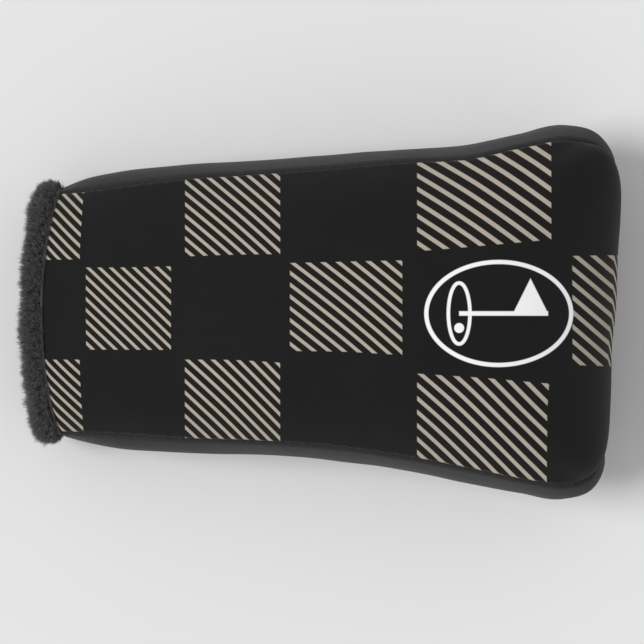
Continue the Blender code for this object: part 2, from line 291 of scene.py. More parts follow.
def eased_corners(points):
    """The grid with its two crown corners, where the rows turn sharply, laid between their neighbours."""
    points[-1, 0] = (points[-2, 0] + points[-1, 1]) / 2
    points[-1, -1] = (points[-2, -1] + points[-1, -2]) / 2
    return points


def grid_normals(points):
    """Unit normals from the grid's own directions."""
    along = np.gradient(points, axis=0)
    across = np.gradient(points, axis=1)
    normal = np.cross(along, across)
    size = np.linalg.norm(normal, axis=-1, keepdims=True)
    return normal / np.maximum(size, 1e-9)


def field(points, wavelength, seed):
    """Smooth noise from -1 to 1 at each grid point."""
    flat = points.reshape(-1, 3) / wavelength + seed
    return np.array([noise.noise(place) for place in flat]).reshape(points.shape[:-1])


def linked_object(name, data):
    obj = bpy.data.objects.new(name, data)
    bpy.context.scene.collection.objects.link(obj)
    return obj


def mesh_object(name, points, faces, smooth=True):
    mesh = bpy.data.meshes.new(name)
    mesh.from_pydata((points * MM).tolist(), [], faces)
    mesh.polygons.foreach_set("use_smooth", [smooth] * len(mesh.polygons))
    mesh.update()
    return linked_object(name, mesh)


def grid_faces(columns, rows, wrap_columns, wrap_rows, flip):
    count_c = columns if wrap_columns else columns - 1
    count_r = rows if wrap_rows else rows - 1
    i, j = np.meshgrid(np.arange(count_c), np.arange(count_r), indexing="ij")
    i, j = i.ravel(), j.ravel()
    k, m = (i + 1) % columns, (j + 1) % rows
    faces = np.stack([i * rows + j, k * rows + j, k * rows + m, i * rows + m], axis=1)
    return (faces[:, ::-1] if flip else faces).tolist()


def grid_object(name, points, flip=False, wrap_columns=False, wrap_rows=False):
    columns, rows = points.shape[:2]
    faces = grid_faces(columns, rows, wrap_columns, wrap_rows, flip)
    return mesh_object(name, points.reshape(-1, 3), faces)


def thicken(obj, thickness, offset=-1.0, backing=None):
    """Gives the sheet its thickness, with its own material on the inside and the cut edges if it has one."""
    solid = obj.modifiers.new("thickness", "SOLIDIFY")
    solid.thickness = thickness * MM
    solid.offset = offset
    if backing:
        obj.data.materials.append(backing)
        solid.material_offset = 1
        solid.material_offset_rim = 1


def point_attribute(obj, name, x, y, z):
    """A vector on each vertex, for the material to read."""
    layer = obj.data.attributes.new(name, "FLOAT_VECTOR", "POINT")
    layer.data.foreach_set("vector", np.stack([x, y, z], axis=-1).reshape(-1))


# Each sheet's flat size and cut area in metres, the pieces that it lies against, and those sewn to it.
SHEETS = {
    "front_panel_shell": ((0.150, 0.294), 0.0362, ["side_gusset_shell"], ["front_seam_stitches"]),
    "back_panel_shell": ((0.150, 0.240), 0.0313, ["side_gusset_shell"], ["back_seam_stitches"]),
    "side_gusset_shell": ((0.049, 0.633), 0.0243, ["gusset_lining_plush"], []),
    "front_lining_plush": ((0.130, 0.264), 0.0275, ["front_panel_shell"], ["front_lining_seam_stitches"]),
    "back_lining_plush": ((0.128, 0.229), 0.0235, ["back_panel_shell"], ["back_lining_seam_stitches"]),
    "gusset_lining_plush": ((0.031, 0.605), 0.0130, ["side_gusset_shell"], []),
}


def declare_sheets():
    for name, (flat, area, against, sewn) in SHEETS.items():
        sewn = [bpy.data.objects[piece] for piece in sewn]


def finish_piece(obj, material, nodes=()):
    if material:
        obj.data.materials.append(material)
    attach(obj, BODY)
    if nodes:
        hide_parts(*nodes)


# ---------------------------------------------------------------------------------------------------------
# Materials.


def set_inputs(node, values):
    for name, value in values.items():
        node.inputs[name].default_value = value


class Shader:
    """A Principled material and short names for the nodes that this script uses."""

    def __init__(self, name, roughness, sheen=0.0, sheen_roughness=0.5, specular=0.5):
        self.material = bpy.data.materials.new(name)
        self.material.use_nodes = True
        self.tree = self.material.node_tree
        self.principled = self.tree.nodes["Principled BSDF"]
        uniform = {"Roughness": roughness, "Specular IOR Level": specular}
        set_inputs(self.principled, uniform | {"Sheen Weight": sheen, "Sheen Roughness": sheen_roughness})

    def node(self, kind, **settings):
        made = self.tree.nodes.new(kind)
        for key, value in settings.items():
            setattr(made, key, value)
        return made

    def put(self, socket, value):
        if isinstance(value, bpy.types.NodeSocket):
            self.tree.links.new(value, socket)
        else:
            socket.default_value = value

    def math(self, operation, *values):
        made = self.node("ShaderNodeMath", operation=operation)
        for socket, value in zip(made.inputs, values):
            self.put(socket, value)
        return made.outputs[0]

    def plus(self, *values):
        return self.math("ADD", *values)

    def minus(self, *values):
        return self.math("SUBTRACT", *values)

    def times(self, *values):
        return self.math("MULTIPLY", *values)

    def hypotenuse(self, first, second):
        squares = [self.times(side, side) for side in (first, second)]
        return self.math("SQRT", self.plus(*squares))

    def attribute(self, name):
        """The x, y and z of a vector attribute."""
        read = self.node("ShaderNodeAttribute", attribute_name=name)
        split = self.node("ShaderNodeSeparateXYZ")
        self.tree.links.new(read.outputs["Vector"], split.inputs[0])
        return split.outputs

    def position(self):
        return self.node("ShaderNodeTexCoord").outputs["Object"]

    def stretch(self, vector, scale):
        made = self.node("ShaderNodeMapping")
        self.tree.links.new(vector, made.inputs["Vector"])
        made.inputs["Scale"].default_value = scale
        return made.outputs[0]

    def noise(self, vector, scale, detail=2.0, roughness=0.5):
        made = self.node("ShaderNodeTexNoise")
        self.tree.links.new(vector, made.inputs["Vector"])
        set_inputs(made, {"Scale": scale, "Detail": detail, "Roughness": roughness})
        return made.outputs["Fac"]

    def ramp(self, value, low, high, to_low=0.0, to_high=1.0):
        made = self.node("ShaderNodeMapRange", interpolation_type="SMOOTHSTEP")
        self.put(made.inputs["Value"], value)
        set_inputs(made, {"From Min": low, "From Max": high, "To Min": to_low, "To Max": to_high})
        return made.outputs["Result"]

    def weave(self, first, second, pitches):
        """Waves along one length times waves along another, at a knit's two pitches."""
        waves = [
            self.math("SINE", self.times(length, 2 * math.pi / pitch))
            for length, pitch in zip((first, second), pitches)
        ]
        return self.times(*waves)

    def mix(self, share, first, second):
        made = self.node("ShaderNodeMix", data_type="RGBA")
        self.put(made.inputs[0], share)
        colours = [socket for socket in made.inputs if socket.type == "RGBA"]
        for socket, value in zip(colours, (first, second)):
            self.put(socket, value if isinstance(value, bpy.types.NodeSocket) else (*value, 1.0))
        return next(out for out in made.outputs if out.type == "RGBA")

    def colour(self, value):
        self.put(self.principled.inputs["Base Color"], value)

    def roughness(self, value, low, high, to_low, to_high):
        """The roughness ramped along with a value."""
        self.put(self.principled.inputs["Roughness"], self.ramp(value, low, high, to_low, to_high))

    def bump(self, height, strength, distance):
        made = self.node("ShaderNodeBump")
        self.put(made.inputs["Height"], height)
        set_inputs(made, {"Strength": strength, "Distance": distance})
        self.tree.links.new(made.outputs[0], self.principled.inputs["Normal"])


# ---------------------------------------------------------------------------------------------------------
# Camera, floor and light.

VIEW_CENTRE = (0.4, -3.9, 42.0)
VIEW_DISTANCE = 1100.0
VIEW_WIDTH = 275.6
SENSOR = 36.0
SKY_STRENGTH = 0.54
KEY_TRAVEL = (1.0, -0.04, -1.25)
KEY_ANGLE = 26.0
KEY_STRENGTH = 1.85
FLOOR_HALF = 6.0


def make_camera():
    data = bpy.data.cameras.new("camera")
    data.sensor_width = SENSOR
    data.lens = SENSOR * VIEW_DISTANCE / VIEW_WIDTH
    data.clip_end = 20.0
    camera = linked_object("camera", data)
    x, y, z = VIEW_CENTRE
    camera.location = (x * MM, y * MM, (z + VIEW_DISTANCE) * MM)
    bpy.context.scene.camera = camera


def make_key_light():
    """A broad light that falls along KEY_TRAVEL, its edges as soft as KEY_ANGLE is wide."""
    data = bpy.data.lights.new("key_light", "SUN")
    data.angle = math.radians(KEY_ANGLE)
    data.energy = KEY_STRENGTH
    light = linked_object("key_light", data)
    light.rotation_euler = Vector(KEY_TRAVEL).to_track_quat("-Z", "Y").to_euler()


def make_studio():
    bpy.context.scene.view_settings.view_transform = "Standard"
    world = bpy.data.worlds.new("studio")
    world.use_nodes = True
    sky = world.node_tree.nodes["Background"]
    set_inputs(sky, {"Color": (1.0, 1.0, 1.0, 1.0), "Strength": SKY_STRENGTH})
    bpy.context.scene.world = world

    corners = np.array([(-1, -1, 0), (1, -1, 0), (1, 1, 0), (-1, 1, 0)]) * FLOOR_HALF / MM
    floor = mesh_object("floor", corners, [(0, 1, 2, 3)], smooth=False)
    paper = Shader("floor_paper", 0.9, specular=0.1)
    paper.colour((0.80, 0.80, 0.80, 1.0))
    floor.data.materials.append(paper.material)


# ---------------------------------------------------------------------------------------------------------
# The printed pattern: a checkerboard of hatched and plain squares, and a flag emblem in one plain square.

# Where the squares' sides lie, counted in squares: columns by their x, rows by their y at each of ROW_X.
COLUMN_SIDES = (-0.965, -0.035, 0.035, 0.965, 1.035, 1.965, 2.035, 2.965, 3.035, 3.965, 4.035, 4.965)
COLUMN_X = (-137.4, -101.9, -100.6, -64.2, -58.2, -17.5, -13.3, 34.7, 41.1, 98.4, 107.6, 164.0)
ROW_SIDES = (-0.965, -0.035, 0.035, 0.965, 1.035, 1.965)
ROW_X = (-112.0, -82.0, -38.0, 11.0, 41.0, 70.0, 98.0, 125.0)
ROW_Y = (
    (-55.0, -55.5, -58.0, -63.0, -69.0, -74.0, -79.0, -84.0),
    (-20.1, -20.1, -20.1, -23.2, -26.1, -27.9, -30.4, -32.0),
    (-15.8, -15.8, -16.1, -16.7, -18.5, -20.4, -22.0, -23.0),
    (19.3, 19.3, 20.6, 21.8, 22.4, 23.2, 24.0, 24.6),
    (22.7, 23.2, 24.8, 25.4, 26.1, 28.6, 31.2, 33.4),
    (57.6, 58.3, 62.0, 66.2, 68.8, 74.8, 80.9, 86.0),
)
NEOPRENE_KNIT = (0.85, 0.70)
JERSEY_KNIT = (0.95, 0.8)
HATCH_LINES = 8.0
HATCH_SHARE = 0.36
SQUARE_MARGIN = 0.035
SQUARE_OVERRUN = 2.4
OVERRUN_SHARE = 0.42  # of the gap between two squares, at most
SQUARE_EDGE = 0.004
HATCH_EDGE = 0.025
EMBLEM_EDGE = 0.22
EMBLEM_CENTRE = (76.0, -0.4)
# The emblem's parts, from its centre along X and Y: where each one's middle lies, then its half sizes.
EMBLEM_RING = (0.0, 0.0, 31.0, 22.0)
EMBLEM_GREEN = (-17.0, 0.0, 4.6, 13.0)
EMBLEM_BALL = (-17.0, -6.2, 2.1, 2.1)
EMBLEM_STICK = (2.0, 0.0, 19.0, 0.95)
RING_HALF_WIDTH = 0.9
GREEN_HALF_WIDTH = 0.75
PENNANT_X = 13.5
PENNANT_HALF = 7.5
PENNANT_LENGTH = 15.0
PENNANT_SLOPE_SCALE = 6.0  # brings the sloping sides' distance near to millimetres
# Past CROWN_PRINT_X and below CROWN_PRINT_Z the print runs down the crown with the cloth.
CROWN_PRINT_X = 96.0
CROWN_PRINT_REACH = 24.0
CROWN_PRINT_SHARE = 0.8
CROWN_PRINT_Z = 56.0
PRINT_TRUE_Z = 42.0
PRINT_STRETCH_HEIGHT = 1100.0
ROW_SMOOTHING = 31
ROW_TABLE_X = (-200.0, 240.0)
# The print is not quite square to the cover: near the crown its low side lags. Each pair says where that
# begins, and how far on it is complete.
LOW_SIDE_SKEW = 1.9
LOW_SIDE_Y = (-15.0, 30.0)
LOW_SIDE_X = (40.0, 50.0)
# Its outer rows bow with the mouth: the middle row's y, half its width, and how far on the bow is complete.
OUTER_ROWS_Y = (2.0, 17.0, 5.0)
MOUTH_PRINT_BOW = 2.0
MOUTH_PRINT_HALF = 48.0
MOUTH_PRINT_X = -108.0
MOUTH_PRINT_REACH = 14.0


def overrun(places, marks):
    """The squares' sides moved a little out into the gaps at the squares' own scale.

    This keeps a hatch line straight up to its square's side.
    """
    marks = np.broadcast_to(np.array(marks)[:, None], places.shape).copy()
    places = places.copy()
    for side in range(1, len(places) - 1, 2):
        gap = places[side + 1] - places[side]
        step = np.minimum(SQUARE_OVERRUN, OVERRUN_SHARE * gap)
        before = (marks[side] - marks[side - 1]) / (places[side] - places[side - 1])
        after = (marks[side + 2] - marks[side + 1]) / (places[side + 2] - places[side + 1])
        places[side] += step
        marks[side] += step * before
        places[side + 1] -= step
        marks[side + 1] -= step * after
    if places.shape[1] == 1:
        return places[:, 0], marks[:, 0]
    return places, marks


def along_rows(heights, x):
    """A row side's y at each x, from its table smoothed so that the hatching has no kinks."""
    first, last = ROW_TABLE_X
    kernel = np.hanning(ROW_SMOOTHING)
    level = np.interp(np.arange(first - ROW_SMOOTHING, last + ROW_SMOOTHING), ROW_X, heights)
    smooth = np.convolve(level, kernel / kernel.sum(), mode="same")[ROW_SMOOTHING:-ROW_SMOOTHING]
    return np.interp(x, np.arange(first, last), smooth)


def print_coordinates(points, wraps):
    """Where each point of a panel lies on the printed pattern: columns and rows, then plain lengths.

    The cloth is printed flat and stretched over the pocket, so the squares grow towards the crown. A panel
    that wraps down over the crown takes the print with it.
    """
    stretch = 1 + (points[..., 2] - PRINT_TRUE_Z) / PRINT_STRETCH_HEIGHT
    at_crown = smooth_step((points[..., 0] - CROWN_PRINT_X) / CROWN_PRINT_REACH)
    drop = wraps * np.clip(CROWN_PRINT_Z - points[..., 2], 0.0, None) * at_crown
    x = points[..., 0] * stretch + drop * CROWN_PRINT_SHARE
    y = points[..., 1] * stretch
    outer_rows = smooth_step((np.abs(y - OUTER_ROWS_Y[0]) - OUTER_ROWS_Y[1]) / OUTER_ROWS_Y[2])
    bow = MOUTH_PRINT_BOW * (1 - (y / MOUTH_PRINT_HALF) ** 2) * outer_rows
    x += bow * np.exp(-(((x - MOUTH_PRINT_X) / MOUTH_PRINT_REACH) ** 2))
    low_side = smooth_step((LOW_SIDE_Y[0] - y) / LOW_SIDE_Y[1])
    x += LOW_SIDE_SKEW * low_side * smooth_step((x - LOW_SIDE_X[0]) / LOW_SIDE_X[1])
    column = np.interp(x, *overrun(np.array(COLUMN_X)[:, None], COLUMN_SIDES))
    sides = np.array([along_rows(heights, x).ravel() for heights in ROW_Y])
    places, marks = overrun(sides, ROW_SIDES)
    level = y.ravel()
    row = marks[0] + (level - places[0]) / (places[1] - places[0]) * (marks[1] - marks[0])
    for low, high, first, last in zip(places[1:], places[2:], marks[1:], marks[2:]):
        row = np.where(level > low, first + (level - low) / (high - low) * (last - first), row)
    row = row.reshape(y.shape)
    return column, row, x, y


def emblem_shade(shader):
    """1 on the emblem's lines: a flag on a green, in an oval ring. Its top points along +X."""
    ex, ey, _ = shader.attribute("emblem")

    def oval(centre_x, centre_y, reach_x, reach_y):
        """The distance from an oval's edge, near enough, negative inside."""
        across = shader.math("DIVIDE", shader.minus(ex, centre_x), reach_x)
        up = shader.math("DIVIDE", shader.minus(ey, centre_y), reach_y)
        size = shader.hypotenuse(across, up)
        slope = shader.hypotenuse(shader.math("DIVIDE", across, reach_x), shader.math("DIVIDE", up, reach_y))
        past = shader.times(size, shader.minus(size, 1.0))
        return shader.math("DIVIDE", past, shader.math("MAXIMUM", slope, 1e-4))

    def outline(distance, half):
        return shader.minus(shader.math("ABSOLUTE", distance), half)

    def slab(centre_x, centre_y, half_x, half_y):
        along = outline(shader.minus(ex, centre_x), half_x)
        return shader.math("MAXIMUM", along, outline(shader.minus(ey, centre_y), half_y))

    from_middle = shader.math("ABSOLUTE", shader.minus(ex, PENNANT_X))
    taper = shader.minus(shader.times(from_middle, 1 / PENNANT_HALF), 1.0)
    slope = shader.plus(shader.times(ey, 1 / PENNANT_LENGTH), taper)
    sloped = shader.times(slope, PENNANT_SLOPE_SCALE)
    pennant = shader.math("MAXIMUM", sloped, shader.times(ey, -1.0))

    nearest = outline(oval(*EMBLEM_RING), RING_HALF_WIDTH)
    green = outline(oval(*EMBLEM_GREEN), GREEN_HALF_WIDTH)
    for shape in (slab(*EMBLEM_STICK), pennant, oval(*EMBLEM_BALL), green):
        nearest = shader.math("MINIMUM", nearest, shape)
    return shader.ramp(nearest, -EMBLEM_EDGE, EMBLEM_EDGE, 1.0, 0.0)


def printed_neoprene(name, emblem):
    """Black knit over foam: hatched squares in a worn beige ink, and the emblem in white if it has one."""
    shader = Shader(name, 0.75, sheen=0.05, sheen_roughness=0.6, specular=0.12)
    column, row, _ = shader.attribute("print")
    cloth_x, cloth_y, from_seam = shader.attribute("cloth")
    place = shader.position()

    cell = shader.plus(shader.math("FLOOR", column), shader.math("FLOOR", row))
    plain = shader.math("FLOORED_MODULO", cell, 2.0)
    inside = shader.minus(1.0, plain)
    for coordinate in (column, row):
        share = shader.math("FRACT", coordinate)
        from_middle = shader.math("ABSOLUTE", shader.minus(share, 0.5))
        half = 0.5 - SQUARE_MARGIN
        within = shader.ramp(from_middle, half - SQUARE_EDGE, half + SQUARE_EDGE, 1.0, 0.0)
        inside = shader.times(inside, within)
    lines = shader.times(shader.plus(column, row), HATCH_LINES)
    off_line = shader.math("PINGPONG", shader.minus(lines, HATCH_SHARE / 2), 0.5)
    half = HATCH_SHARE / 2
    stripe = shader.ramp(off_line, half - HATCH_EDGE, half + HATCH_EDGE, 1.0, 0.0)
    ink = shader.times(inside, stripe)

    grain = shader.noise(place, 2600.0, detail=3.0, roughness=0.6)
    patches = shader.noise(place, 38.0, detail=3.0)
    wear = shader.ramp(grain, 0.30, 0.52, 0.80, 1.0)

    black = shader.mix(patches, (0.0052, 0.0052, 0.0056), (0.0088, 0.0087, 0.0090))
    ridge = shader.ramp(from_seam, 0.4, 3.2, 1.0, 0.0)
    black = shader.mix(shader.times(ridge, 0.5), black, (0.017, 0.017, 0.018))
    ground = shader.mix(inside, black, (0.0085, 0.0070, 0.0054))
    beige = shader.mix(patches, (0.405, 0.368, 0.306), (0.460, 0.418, 0.348))
    shade = shader.mix(shader.times(ink, wear), ground, beige)
    if emblem:
        white = shader.times(emblem_shade(shader), shader.ramp(grain, 0.28, 0.5, 0.92, 1.0))
        shade = shader.mix(white, shade, (0.93, 0.93, 0.95))
    shader.colour(shade)
    shader.roughness(grain, 0.3, 0.7, 0.66, 0.88)

    knit = shader.weave(cloth_y, cloth_x, NEOPRENE_KNIT)
    relief = shader.plus(shader.times(knit, 0.35), shader.times(grain, 0.9))
    shader.bump(relief, 0.35, 0.00012)
    return shader.material


def brushed_jersey():
    """The gusset's dark grey jersey: a fine knit under a brushed, slightly hairy face."""
    shader = Shader("gusset_jersey", 0.9, sheen=0.10, sheen_roughness=0.5, specular=0.06)
    along, across, from_seam = shader.attribute("cloth")
    place = shader.position()
    hairs = shader.noise(shader.stretch(place, (1.0, 1.0, 2.2)), 1500.0, detail=4.0, roughness=0.65)
    patches = shader.noise(place, 55.0, detail=4.0, roughness=0.6)
    grey = shader.mix(patches, (0.023, 0.023, 0.0235), (0.034, 0.034, 0.0348))
    grey = shader.mix(shader.ramp(hairs, 0.42, 0.68, 0.0, 0.55), grey, (0.046, 0.046, 0.048))
    # Painted shade: the jersey turns near-black within about a millimetre of its seams, standing in for the
    # shade in the seam groove.
    painted_groove_shade = shader.ramp(from_seam, 0.1, 0.9, 0.6, 0.0)
    shader.colour(shader.mix(painted_groove_shade, grey, (0.009, 0.009, 0.009)))
    shader.roughness(hairs, 0.3, 0.7, 0.82, 0.98)
    knit = shader.times(shader.weave(along, across, JERSEY_KNIT), 0.3)
    shader.bump(shader.plus(knit, hairs), 0.5, 0.00022)
    return shader.material


def foam_backing():
    """The shell's cut foam edge and its plain knitted inside, a little lighter than its face."""
    shader = Shader("foam_backing", 0.95, sheen=0.1, specular=0.05)
    place = shader.position()
    cells = shader.noise(place, 1400.0, detail=3.0, roughness=0.7)
    shader.colour(shader.mix(shader.ramp(cells, 0.35, 0.65), (0.022, 0.022, 0.023), (0.060, 0.060, 0.063)))
    shader.roughness(cells, 0.3, 0.7, 0.88, 1.0)
    shader.bump(cells, 0.6, 0.0003)
    return shader.material


def plush(name, root, tip):
    """Pile whose strands run from a dark root to a dusty tip, each of its own shade."""
    shader = Shader(name, 0.92, sheen=0.5, sheen_roughness=0.4, specular=0.08)
    along, chance, _ = shader.attribute("strand")
    patches = shader.noise(shader.position(), 90.0, detail=3.0)
    shade = shader.mix(shader.ramp(along, 0.1, 0.95), root, tip)
    varied = shader.mix(shader.times(chance, 0.45), shade, tuple(1.25 * c for c in root))
    shader.colour(shader.mix(shader.ramp(patches, 0.35, 0.7, 0.0, 0.4), varied, tuple(0.5 * c for c in tip)))
    shader.roughness(chance, 0.0, 1.0, 0.85, 0.98)
    return shader.material


def plush_ground():
    """The knitted ground that the pile stands on."""
    shader = Shader("plush_ground", 0.95, sheen=0.3, specular=0.05)
    place = shader.position()
    tufts = shader.noise(place, 700.0, detail=4.0, roughness=0.7)
    shade = shader.mix(shader.ramp(tufts, 0.35, 0.65), (0.006, 0.006, 0.0065), (0.026, 0.025, 0.025))
    shader.colour(shade)
    shader.roughness(tufts, 0.3, 0.7, 0.9, 1.0)
    shader.bump(tufts, 0.8, 0.0008)
    return shader.material


def thread_material(name, low, high):
    """Polyester thread: fine plies, slightly glossy on top."""
    shader = Shader(name, 0.5, sheen=0.1, specular=0.35)
    plies = shader.noise(shader.position(), 3200.0, detail=2.0)
    shader.colour(shader.mix(shader.ramp(plies, 0.35, 0.65), low, high))
    shader.roughness(plies, 0.3, 0.7, 0.4, 0.62)
    shader.bump(plies, 0.5, 0.00015)
    return shader.material


# ---------------------------------------------------------------------------------------------------------
# The shells: cloth over foam, drawn down into the seams.

SEAM_SAMPLES = 1500
ROLL_DEPTH = 1.25
ROLL_REACH = 1.1
MOUTH_ROLL = 0.9
PUCKER_HEIGHT = 0.16
PUCKER_PITCH = 6.3
PUCKER_REACH = 3.2
WANDER = 2.5  # how far, in radians, the puckers stray from an even pitch
WANDER_REACH = 17.0
SWAYS = ((0.55, 46.0, 0.0), (0.22, 17.0, 7.0))  # height, wavelength and seed of the cloth's unevenness
SWAY_START = 14.0
PANEL_SLOPE = 0.96  # where, next to the seam, a panel's slope is read
GUSSET_SLOPE = 0.05  # and how far from its seam the gusset's is
FLOOR_CLEARANCE = 0.05
PANEL_ALONG = 190
PANEL_ACROSS = 150
PANEL_EASING = 28
GUSSET_ALONG = 640
GUSSET_ACROSS = 44


def nearest_on(points, line):
    """Each grid point's distance from the nearest of a line's points, and which that is."""
    tree = kdtree.KDTree(len(line))
    for index, place in enumerate(line):
        tree.insert(place, index)
    tree.balance()
    found = [tree.find(place) for place in points.reshape(-1, 3)]
    shape = points.shape[:-1]
    return np.array([f[2] for f in found]).reshape(shape), np.array([f[1] for f in found]).reshape(shape)


def seam_bisector(surface, gusset_end):
    """A seam's points, and the directions halfway between the panel's outward normals and the gusset's."""
    s = np.linspace(0.0, 1.0, SEAM_SAMPLES)
    seam = surface(s, np.ones_like(s))
    along = unit(np.gradient(seam, axis=0))
    over = unit(surface(s, np.full_like(s, PANEL_SLOPE)) - seam)
    beside = unit(gusset_point(s, np.full_like(s, abs(gusset_end - GUSSET_SLOPE))) - seam)
    sign = 1.0 if gusset_end > 0.5 else -1.0
    return seam, unit(unit(np.cross(along, over)) + unit(np.cross(beside, along))) * sign


FRONT_SEAM = seam_bisector(front_point, 1.0)
BACK_SEAM = seam_bisector(back_point, 0.0)


def drawn_in(points, normals, seams, mouths, seed):
    """The cloth with its seam edges pulled into the groove, puckered by the stitches, and gently uneven."""
    shaped = points.copy()
    from_seam = np.full(points.shape[:-1], 1e9)
    for seam, bisector in seams:
        away, index = nearest_on(points, seam)
        pull = np.exp(-((away / ROLL_REACH) ** 2))[..., None]
        shaped -= (normals * (1 - pull) + bisector[index] * pull) * pull * ROLL_DEPTH
        length = index / SEAM_SAMPLES * SEAM.length
        wave = np.sin(2 * math.pi * length / PUCKER_PITCH + WANDER * np.sin(length / WANDER_REACH + seed))
        ripple = wave * PUCKER_HEIGHT * np.exp(-((away / PUCKER_REACH) ** 2)) * (1 - pull[..., 0])
        shaped += normals * ripple[..., None]
        from_seam = np.minimum(from_seam, away)
    for mouth in mouths:
        away, _ = nearest_on(points, mouth)
        shaped -= normals * (MOUTH_ROLL * np.exp(-((away / ROLL_REACH) ** 2)))[..., None]
    sway = sum(height * field(points, wavelength, seed + extra) for height, wavelength, extra in SWAYS)
    shaped += normals * (sway * smooth_step(from_seam / SWAY_START))[..., None]
    shaped[..., 2] = np.maximum(shaped[..., 2], FLOOR_CLEARANCE)
    return shaped, from_seam


def shell_panel(name, surface, seam, seed, back, material, backing):
    points = relaxed(panel_grid(surface, PANEL_ALONG, PANEL_ACROSS), PANEL_EASING)
    normals = grid_normals(points) * (-1.0 if back else 1.0)
    shaped, from_seam = drawn_in(points, normals, [seam], [points[0]], seed)
    shaped = eased_corners(shaped)
    obj = grid_object(name, shaped, flip=back)
    column, row, x, y = print_coordinates(points, wraps=not back)
    point_attribute(obj, "print", column, row, 0 * row)
    point_attribute(obj, "emblem", x - EMBLEM_CENTRE[0], y - EMBLEM_CENTRE[1], 0 * x)
    point_attribute(obj, "cloth", x, y, from_seam)
    obj.data.materials.append(material)
    thicken(obj, SHELL_THICKNESS, backing=backing)
    finish_piece(obj, None, [name.removesuffix("_shell")])


def shell_gusset(material, backing):
    points = gusset_grid(GUSSET_ALONG, GUSSET_ACROSS)
    normals = grid_normals(points)
    shaped, from_seam = drawn_in(points, normals, [FRONT_SEAM, BACK_SEAM], [points[0], points[-1]], 3.0)
    obj = grid_object("side_gusset_shell", shaped)
    along = np.linspace(0.0, SEAM.length, GUSSET_ALONG + 1)[:, None] + 0 * from_seam
    steps = np.linalg.norm(np.diff(points, axis=1, prepend=points[:, :1]), axis=-1)
    across = np.cumsum(steps, axis=1)
    point_attribute(obj, "cloth", along, across, from_seam)
    obj.data.materials.append(material)
    thicken(obj, SHELL_THICKNESS, backing=backing)
    finish_piece(obj, None, ["side_gusset"])


# ---------------------------------------------------------------------------------------------------------
# Stitches: rounded capsules laid end to end along a line.

CAPSULE_SIDES = 8
# The rings of a capsule: the share of its half length, and of its radius.
CAPSULE_RINGS = np.array([(-1.0, 0.25), (-0.86, 0.72), (-0.5, 1.0), (0.5, 1.0), (0.86, 0.72), (1.0, 0.25)])
# Pitch, length, radius and tilt of a stitch, in the seams and round the mouth.
SEAM_STITCH = (3.3, 2.9, 0.34, 0.16)
LINING_STITCH = (3.3, 2.9, 0.36, 0.16)
MOUTH_STITCH = (1.25, 1.9, 0.62, 0.35)
SEAM_STITCH_DEPTH = 1.42
LINING_STITCH_DEPTH = 5.4
MOUTH_STITCH_POINTS = 900
MOUTH_STITCH_INSET = 1.0
MOUTH_STITCH_START = 0.35
MOUTH_STITCH_LOWEST = 0.7


def stitches(name, line, lift, stitch, material, nodes, closed=False):
    """Capsules along line, whose face points along lift, each turned by tilt out of the line's direction."""
    pitch, length, radius, tilt = stitch
    whole = np.concatenate([line, line[:1]]) if closed else line
    face = np.concatenate([lift, lift[:1]]) if closed else lift
    path = walked_length(whole)
    count = int(path[-1] / pitch)
    marks = (np.arange(count) + 0.5) * path[-1] / count
    centre = read_along(marks, path, whole)
    forward = unit(read_along(marks + 0.5, path, whole) - read_along(marks - 0.5, path, whole))
    up = read_along(marks, path, face)
    up = unit(up - forward * np.sum(up * forward, axis=1, keepdims=True))
    side = np.cross(up, forward)
    direction = forward * math.cos(tilt) + side * math.sin(tilt)
    side = np.cross(up, direction)

    angle = np.arange(CAPSULE_SIDES) * 2 * math.pi / CAPSULE_SIDES
    rings = len(CAPSULE_RINGS)
    along = CAPSULE_RINGS[:, 0][None, :, None, None] * length / 2
    girth = CAPSULE_RINGS[:, 1][None, :, None, None] * radius
    turn_side = np.cos(angle)[None, None, :, None]
    turn_up = np.sin(angle)[None, None, :, None]
    spread = side[:, None, None] * turn_side + up[:, None, None] * turn_up
    points = centre[:, None, None] + direction[:, None, None] * along + spread * girth
    faces = []
    for first in range(0, count * rings * CAPSULE_SIDES, rings * CAPSULE_SIDES):
        for ring in range(rings - 1):
            a = first + ring * CAPSULE_SIDES
            for k in range(CAPSULE_SIDES):
                m = (k + 1) % CAPSULE_SIDES
                faces.append((a + m, a + k, a + CAPSULE_SIDES + k, a + CAPSULE_SIDES + m))
        faces.append(tuple(range(first, first + CAPSULE_SIDES)))
        last = first + (rings - 1) * CAPSULE_SIDES
        faces.append(tuple(range(last + CAPSULE_SIDES - 1, last - 1, -1)))
    finish_piece(mesh_object(name, points.reshape(-1, 3), faces), material, nodes)


def make_stitches(black_thread, grey_thread):
    for name, (seam, lift) in (("front", FRONT_SEAM), ("back", BACK_SEAM)):
        for part, depth, stitch in (
            ("_seam", SEAM_STITCH_DEPTH, SEAM_STITCH),
            ("_lining_seam", LINING_STITCH_DEPTH, LINING_STITCH),
        ):
            nodes = [name + part + "_thread"]
            stitches(name + part + "_stitches", seam - lift * depth, lift, stitch, black_thread, nodes)
    loop, inward = mouth_loop(MOUTH_STITCH_POINTS)
    edge = loop + inward * MOUTH_STITCH_INSET
    edge[:, 0] -= MOUTH_STITCH_START
    edge[:, 2] = np.maximum(edge[:, 2], MOUTH_STITCH_LOWEST)
    nodes = ["mouth_seam_thread"]
    stitches("mouth_seam_stitches", edge, -inward, MOUTH_STITCH, grey_thread, nodes, closed=True)


# ---------------------------------------------------------------------------------------------------------
# Pile: ribbons scattered over a grid of points, drawn together in clumps.

